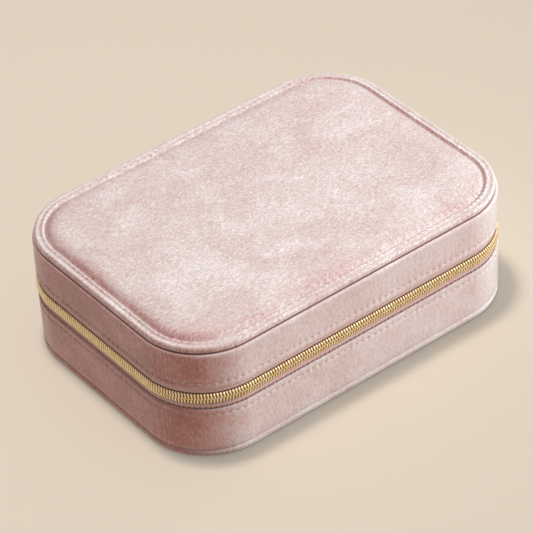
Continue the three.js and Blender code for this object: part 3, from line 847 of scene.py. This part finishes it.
# %% Lining walls, pads and dividers
def lining_ripple(distance, inset, z):
    slow = 0.09 * noise.noise(Vector((distance / 19, z / 10, 5.5)))
    return (-slow if inset > 4.2 else 0), 0


for name, body in (("base_lining_wall", "base"), ("lid_lining_wall", "lid")):
    z0, z1 = extent(name)
    steps = [z0 + (z1 - z0) * i / 8 for i in range(1, 8)]
    section = [(3.3, z0), (3.3, z1), (5.1, z1)] + [(5.1, z) for z in reversed(steps)] + [(5.1, z0)]
    bm = sweep(CASE, rounded(section, 0.8, 4), spacing=1.5, ripple=lining_ripple)
    finish_piece(name + "_velvet", bm, LINING, body, name)

for name, body, way in (("base_floor_pad", "base", 1), ("lid_lining_panel", "lid", -1)):
    z0, z1 = (low(name), high(name)) if way > 0 else (high(name), low(name))
    shape = [(5.9, z0), (5.45, z0 + way * 0.2), (5.4, z0 + way * 0.8), (5.6, z1 - way * 0.35)]
    shape += [(6.1, z1 - way * 0.1), (7.0, z1 - way * 0.02), (9.0, z1), (14.0, z1), (20.0, z1)]
    bm = sweep(CASE, shape, spacing=1.5, ends="caps")
    pad = finish_piece(name + "_velvet", bm, LINING, body, name)

for node in ("ring_section_divider", "cross_divider", "short_divider"):
    softened_copy(node, "base", LINING, 0.7, segments=4)

# %% [markdown]
# ## Ring rolls
# Seven foam rolls wrapped in velvet grip the rings between them. Each starts as the CAD roll, a little
# slimmer, and cloth pressure swells it. How far a point may move is capped, so that the rolls keep apart.

# %% Swell the ring rolls
ROLL_VOXEL = 1.7
ROLL_SWELL = 0.75


def swell(piece, pressure, cap):
    rest = [v.co.copy() for v in piece.data.vertices]
    cloth = piece.modifiers.new("swell", "CLOTH")
    cloth.settings.use_pressure = True
    cloth.settings.uniform_pressure_force = pressure
    cloth.settings.effector_weights.gravity = 0
    cloth.settings.quality = 5
    cloth.settings.mass = 0.3
    for number in range(1, 16):
        SCENE.frame_set(number)
    swollen = piece.evaluated_get(bpy.context.evaluated_depsgraph_get())
    moved = [v.co.copy() for v in swollen.data.vertices]
    piece.modifiers.remove(cloth)
    SCENE.frame_set(1)
    for vert, start, end in zip(piece.data.vertices, rest, moved):
        push = end - start
        vert.co = start + push * min(1, cap * MM / max(push.length, 1e-9))


# %% Make the seven rolls
for number in range(1, 8):
    node = "ring_roll_" + str(number)
    bm = merged_copy(node)
    roll = finish_piece(node + "_velvet", bm, LINING)
    remesh = roll.modifiers.new("even skin", "REMESH")
    remesh.mode = "VOXEL"
    remesh.voxel_size = ROLL_VOXEL * MM
    shape = bpy.data.meshes.new_from_object(roll.evaluated_get(bpy.context.evaluated_depsgraph_get()))
    roll.modifiers.clear()
    roll.data = shape
    corner_low, corner_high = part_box(node)
    middle = (Vector(corner_low) + Vector(corner_high)) / 2
    for vert in shape.vertices:
        for axis in range(3):
            room = (corner_high[axis] - corner_low[axis]) / 2
            shrink = (room - ROLL_SWELL * MM) / room
            vert.co[axis] = middle[axis] + (vert.co[axis] - middle[axis]) * shrink
    swell(roll, 3.0, ROLL_SWELL)
    for vert in shape.vertices:
        for axis in range(3):
            vert.co[axis] = min(max(vert.co[axis], corner_low[axis]), corner_high[axis])
    bm = bmesh.new()
    bm.from_mesh(shape)
    bmesh.ops.smooth_vert(bm, verts=bm.verts, factor=0.5, use_axis_x=True, use_axis_y=True, use_axis_z=True)
    bm.to_mesh(shape)
    bm.free()
    for polygon in shape.polygons:
        polygon.use_smooth = True
    smoother = roll.modifiers.new("one finer", "SUBSURF")
    smoother.levels = smoother.render_levels = 1
    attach(roll, "base")
    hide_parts(node)
print("ring rolls:", len(shape.polygons), "faces in the last one")

# %% [markdown]
# ## The earring panel
# A board in velvet lies over the front and right compartments, with twenty pairs of holes for earring
# posts. It lifts on a strip of cloth at the back, by a ribbon loop at the front. Each hole has an eyelet.

# %% Earring panel and eyelets
softened_copy("earring_panel", "earring_flap", LINING, 0.5)
panel_top = high("earring_panel")

ring_bm = bmesh.new()
bmesh.ops.create_circle(ring_bm, segments=6, radius=0.22 * MM,
                        matrix=Matrix.Translation((1.12 * MM, 0, 0)) @ Matrix.Rotation(math.pi / 2, 4, "X"))
bmesh.ops.spin(ring_bm, geom=list(ring_bm.verts) + list(ring_bm.edges), cent=(0, 0, 0), axis=(0, 0, 1),
               angle=math.tau, steps=14, use_merge=True, use_duplicate=False)
bmesh.ops.recalc_face_normals(ring_bm, faces=ring_bm.faces)
eyelet = to_mesh("eyelet", ring_bm)
places = []
for column in range(5):
    for row in range(4):
        for side in (-3.5, 3.5):
            spot = Vector((-10 + 17 * column + side, -32 + 21 * row, panel_top + 0.04))
            places.append(Matrix.Translation(spot * MM))
finish_piece("earring_panel_eyelets", scatter(eyelet, places), GOLD, "earring_flap")
print("eyelets:", len(places))

# %% [markdown]
# The strip that the panel lifts on is a level band. The ribbon lies flat under the panel's front edge,
# turns over in a loop and comes back over itself.

# %% Strip and ribbon
strip_front, strip_back = extent("earring_panel_hinge", 1)
strip_x = extent("earring_panel_hinge", 0)
strip_rows = [(strip_back + 0.2 - 2.9 * i / 10, panel_top - 0.6) for i in range(11)]
strip = cloth_strip("earring_panel_strip", strip_x, strip_rows, 0.7, LINING, columns=50)
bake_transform(strip)
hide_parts("earring_panel_hinge")

ribbon_x = extent("earring_panel_ribbon", 0)
ribbon_y = extent("earring_panel_ribbon", 1)
ribbon_z = low("earring_panel_ribbon")
bend = [(ribbon_y[1] - 13 * i / 12, ribbon_z + 0.12 + 0.03 * math.sin(i)) for i in range(12)]
front = ribbon_y[0]
turn = [(front + 0.25 - 0.25 * math.sin(a), ribbon_z + 0.36 - 0.24 * math.cos(a)) for a in (0.5, 1.57, 2.6)]
shares = [i / 11 for i in range(12)]
back_over = [(front + 0.5 + 12 * t, ribbon_z + 0.62 + 0.25 * math.sin(math.pi * t)) for t in shares]
loop = bend + turn + back_over
ribbon = cloth_strip("earring_panel_ribbon_loop", ribbon_x, loop, 0.14, RIBBON, columns=16)
give_plain_uv(ribbon)
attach(ribbon, "earring_flap")
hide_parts("earring_panel_ribbon")
print("ribbon area", round(half_area(ribbon) * 1e6), "mm2, strip", round(half_area(strip) * 1e6))

# %% [markdown]
# ## In the lid
# Three short straps close with snaps over necklace chains. A gathered pocket catches the loose ends, and a
# framed mirror takes the other half.

# %% Spin a turned part
def spun(name, profile, place, body, stands_for):
    """profile is (radius, height) from the axis outwards and back to the axis."""
    bm = bmesh.new()
    verts = [bm.verts.new((r * MM, 0, z * MM)) for r, z in profile]
    edges = [bm.edges.new(pair) for pair in zip(verts, verts[1:])]
    bmesh.ops.spin(bm, geom=verts + edges, cent=(0, 0, 0), axis=(0, 0, 1), angle=math.tau, steps=40,
                   use_merge=True, use_duplicate=False)
    bmesh.ops.remove_doubles(bm, verts=bm.verts, dist=1e-6)
    bmesh.ops.translate(bm, verts=bm.verts, vec=Vector(place) * MM)
    return finish_piece(name, bm, GOLD, body, stands_for)


# %% Straps, their snaps and their stitches
for number in (1, 2, 3):
    tag = str(number)
    body = "strap_" + tag
    softened_copy("necklace_strap_" + tag, body, BLUSH, 0.35)
    x = middle_of("necklace_strap_" + tag, 0)
    y = middle_of("snap_cap_" + tag, 1)
    cap_low, cap_high = extent("snap_cap_" + tag)
    radius = high("snap_cap_" + tag, 0) - middle_of("snap_cap_" + tag, 0)
    dome = [(0, cap_high + 0.3), (radius * 0.5, cap_high + 0.3), (radius * 0.9, cap_high)]
    dome += [(radius, cap_high - 0.2), (radius * 0.98, cap_low + 0.45), (radius * 0.86, cap_low + 0.2)]
    dome += [(radius * 0.6, cap_low + 0.06), (radius * 0.5, cap_low + 0.14)]
    dome += [(radius * 0.35, cap_low + 0.04), (0, cap_low)]
    spun("snap_cap_" + tag + "_domed", dome, (x, y, 0), body, "snap_cap_" + tag)
    stud_low, stud_high = extent("snap_stud_" + tag)
    peg = [(0, stud_high), (1.9, stud_high), (1.95, stud_high - 0.15), (1.2, stud_high - 0.3)]
    peg += [(0.85, stud_high - 0.45), (0.95, stud_low + 0.15), (0.8, stud_low), (0, stud_low)]
    spun("snap_stud_" + tag + "_turned", peg, (x, y, 0), "lid", "snap_stud_" + tag)
    template = capsule(1.5, 0.28)
    strap_low = low("necklace_strap_" + tag)
    places = []
    for side in (-3.2, 3.2):
        for i in range(6):
            turned = Matrix.Rotation(math.pi / 2, 4, "Z")
            places.append(Matrix.Translation(Vector((x + side, -46 + 2.2 * i, strap_low)) * MM) @ turned)
    finish_piece("strap_stitches_" + tag, scatter(template, places), THREAD, body)

# %% [markdown]
# The pocket is one piece of lining gathered on to a band of elastic. The gathers are deepest at the band,
# and fan out and fade towards the seam at the back.

# %% Elastic pocket
def gathered_pocket():
    x0, x1 = extent("elastic_pocket", 0)
    y0, y1 = extent("elastic_pocket", 1)
    under, top = extent("elastic_pocket")
    depth = top - under
    bm = bmesh.new()
    bmesh.ops.create_grid(bm, x_segments=186, y_segments=40, size=0.5)
    for vert in bm.verts:
        u, v = vert.co.x + 0.5, vert.co.y + 0.5
        x, y = x0 + 0.5 + (x1 - x0 - 1) * u, y0 + 0.4 + (y1 - y0 - 0.8) * v
        edge = min(u, 1 - u)
        across = min(1, edge / 0.09) ** 0.6 if edge > 0 else 0
        back = min(1, (1 - v) / 0.25) ** 0.5
        wander = 0.55 * noise.noise(Vector((u * 7, v * 1.5, 0)))
        size = 0.65 + 0.7 * noise.noise(Vector((u * 13, v, 4)))
        fold = math.sin(2 * math.pi * (u * 17 + wander * (1.3 - v)))
        gather = fold * size * (0.85 * (1 - v) ** 1.1 + 0.22 * near(v, 1, 0.14)) * across
        hem = 0.45 * near(v, 0.12, 0.025)
        drop = (0.3 + (depth - 2.0) * back * (0.8 + 0.2 * v)) * across + gather - hem * across
        vert.co = Vector((x + 0.4 * fold * (1 - v) * across, y, top - 0.45 - max(drop, 0))) * MM
    bmesh.ops.solidify(bm, geom=list(bm.faces), thickness=0.45 * MM)
    return finish_piece("elastic_pocket_gathered", bm, LINING, "lid", "elastic_pocket")


pocket = gathered_pocket()
print("pocket area", round(half_area(pocket) * 1e6), "mm2")

# %% [markdown]
# The mirror is silvered glass in a thin gold frame. The frame is one section swept round its own small
# outline, with a lip over the glass.

# %% Mirror frame
middle = (middle_of("mirror_bezel", 0), middle_of("mirror_bezel", 1))
half_x, half_y = (high("mirror_bezel", 0) - middle[0]), (high("mirror_bezel", 1) - middle[1])
FRAME = Outline(half_x, half_y, 7.3, middle)
z0, z1 = extent("mirror_bezel")
g0 = low("mirror_glass")
shape = [(0, z1), (0, z0 + 0.5), (0.5, z0), (2.2, z0), (3.6, g0 - 0.35)]
shape += [(3.75, g0 - 0.05), (2.3, g0 - 0.05), (2.3, z1)]
bm = sweep(FRAME, rounded(shape, 0.3, 3), spacing=1.2)
finish_piece("mirror_frame", bm, GOLD, "lid", "mirror_bezel")

# %% [markdown]
# Three CAD nodes stay as they are and only need a finish: the glass, and the board and foam under the
# cover. A finish is given through the object's own material slots.

# %% Finishes of the nodes that stay
def silvered():
    material, tree, shader = new_material(
        "silvered_glass", Metallic=1.0, Coat_Weight=1.0, Coat_Roughness=0.02
    )
    haze = object_noise(tree, Scale=60.0, Detail=3.0)
    paint(tree, shader, haze, [(0.3, (0.83, 0.85, 0.85)), (0.7, (0.88, 0.89, 0.89))])
    link(tree, maths(tree, "MULTIPLY", haze, 0.06), shader.inputs["Roughness"])
    return material


def pressed(name, dark, pale, scale, roughness, depth):
    material, tree, shader = new_material(name, Roughness=roughness)
    grain = object_noise(tree, Scale=scale, Detail=4.0, Roughness=0.7)
    paint(tree, shader, grain, [(0.3, dark), (0.7, pale)])
    bump(tree, shader, grain, depth)
    return material


def refinish(node, material):
    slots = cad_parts[node].material_slots
    for slot in slots:
        slot.material = material
    print(node, "has", len(slots), "slot, now", material.name)


refinish("mirror_glass", silvered())
refinish("lid_top_board", pressed("grey_board", (0.30, 0.26, 0.22), (0.42, 0.38, 0.33), 700.0, 0.9, 0.05))
refinish("lid_top_foam", pressed("white_foam", (0.70, 0.66, 0.58), (0.86, 0.83, 0.76), 1400.0, 0.95, 0.15))

# %% [markdown]
# ## The room
# A pale floor and a soft even sky, which mirrors and metal see brighter than the cloth does. The lamp on
# the right and front brings out the front wall and the top, and leaves the floor alone. The floor has a
# wide lamp of its own that casts no shadow, so its only shadow is the short soft one of the lamps above.

# %% Floor and sky
floor_mesh = bmesh.new()
bmesh.ops.create_grid(floor_mesh, x_segments=1, y_segments=1, size=3.0)
bmesh.ops.translate(floor_mesh, verts=floor_mesh.verts, vec=(0, 0, -0.0002))
pale_floor = new_material(
    "pale_floor", Roughness=0.9, Base_Color=(0.70, 0.635, 0.54, 1), Specular_IOR_Level=0.0
)
floor = finish_piece("floor", floor_mesh, pale_floor[0])

SKY, SKY_MIRRORED = 0.32, 0.75
world = bpy.data.worlds.new("soft_sky")
world.use_nodes = True
sky = world.node_tree.nodes["Background"]
sky.inputs["Color"].default_value = (1.0, 0.86, 0.77, 1)
ray = world.node_tree.nodes.new("ShaderNodeLightPath")
strength = world.node_tree.nodes.new("ShaderNodeMapRange")
strength.inputs["To Min"].default_value = SKY
strength.inputs["To Max"].default_value = SKY_MIRRORED
link(world.node_tree, ray.outputs["Is Glossy Ray"], strength.inputs["Value"])
link(world.node_tree, strength.outputs["Result"], sky.inputs["Strength"])
SCENE.world = world


# %% Lamps
def area_lamp(name, place, target, size, power, colour):
    data = bpy.data.lights.new(name, "AREA")
    data.size = size
    data.energy = power
    data.color = colour
    lamp = bpy.data.objects.new(name, data)
    SCENE.collection.objects.link(lamp)
    lamp.location = place
    lamp.rotation_euler = (Vector(target) - Vector(place)).to_track_quat("-Z", "Y").to_euler()
    return lamp


key = area_lamp("front_lamp", (0.73, -0.57, 0.55), (0, 0, 0.03), 0.47, 10.4, (0.97, 1.0, 1.0))
area_lamp("high_lamp", (-0.07, 0.09, 1.1), (0, 0, 0.0), 0.16, 4.4, (1.0, 0.955, 0.91))
floor_lamp = area_lamp("floor_lamp", (0, 0, 2.2), (0, 0, 0), 2.5, 22.5, (0.76, 0.94, 1.01))
shadow_lamp = area_lamp("shadow_lamp", (-0.045, 0.095, 1.2), (0, 0, 0), 0.09, 2.2, (1.0, 0.75, 0.6))
not_floor = bpy.data.collections.new("lit_by_front_lamp")
not_floor.objects.link(floor)
key.light_linking.receiver_collection = not_floor
not_floor.collection_objects[0].light_linking.link_state = "EXCLUDE"
only_floor = bpy.data.collections.new("lit_by_floor_lamp")
only_floor.objects.link(floor)
floor_lamp.light_linking.receiver_collection = only_floor
floor_lamp.light_linking.blocker_collection = only_floor
shadow_lamp.light_linking.receiver_collection = only_floor

# %% [markdown]
# The camera is far off and its lens long, so the case looks nearly parallel. It stands on the left of the
# front, looking down, and is rolled a little.

# %% Camera
AZIMUTH, ELEVATION, ROLL = math.radians(-36.25), math.radians(38.95), math.radians(-3.56)
DISTANCE, ACROSS, UPWARDS = 1.22007, -0.00216, 0.01624
LENS = 206.55
level = math.cos(ELEVATION)
back = Vector((math.sin(AZIMUTH) * level, -math.cos(AZIMUTH) * level, math.sin(ELEVATION)))
right = Vector((math.cos(AZIMUTH), math.sin(AZIMUTH), 0))
above = back.cross(right)
rolled_right = right * math.cos(ROLL) + above * math.sin(ROLL)
rolled_above = above * math.cos(ROLL) - right * math.sin(ROLL)
camera = bpy.data.objects.new("camera", bpy.data.cameras.new("camera"))
SCENE.collection.objects.link(camera)
camera.data.lens = LENS
camera.data.sensor_width = 36
camera.data.clip_end = 20
place = rolled_right * ACROSS + rolled_above * UPWARDS + back * DISTANCE
axes = Matrix((rolled_right, rolled_above, back)).transposed().to_4x4()
camera.matrix_world = Matrix.Translation(place) @ axes
SCENE.camera = camera
SCENE.view_settings.view_transform = "Standard"
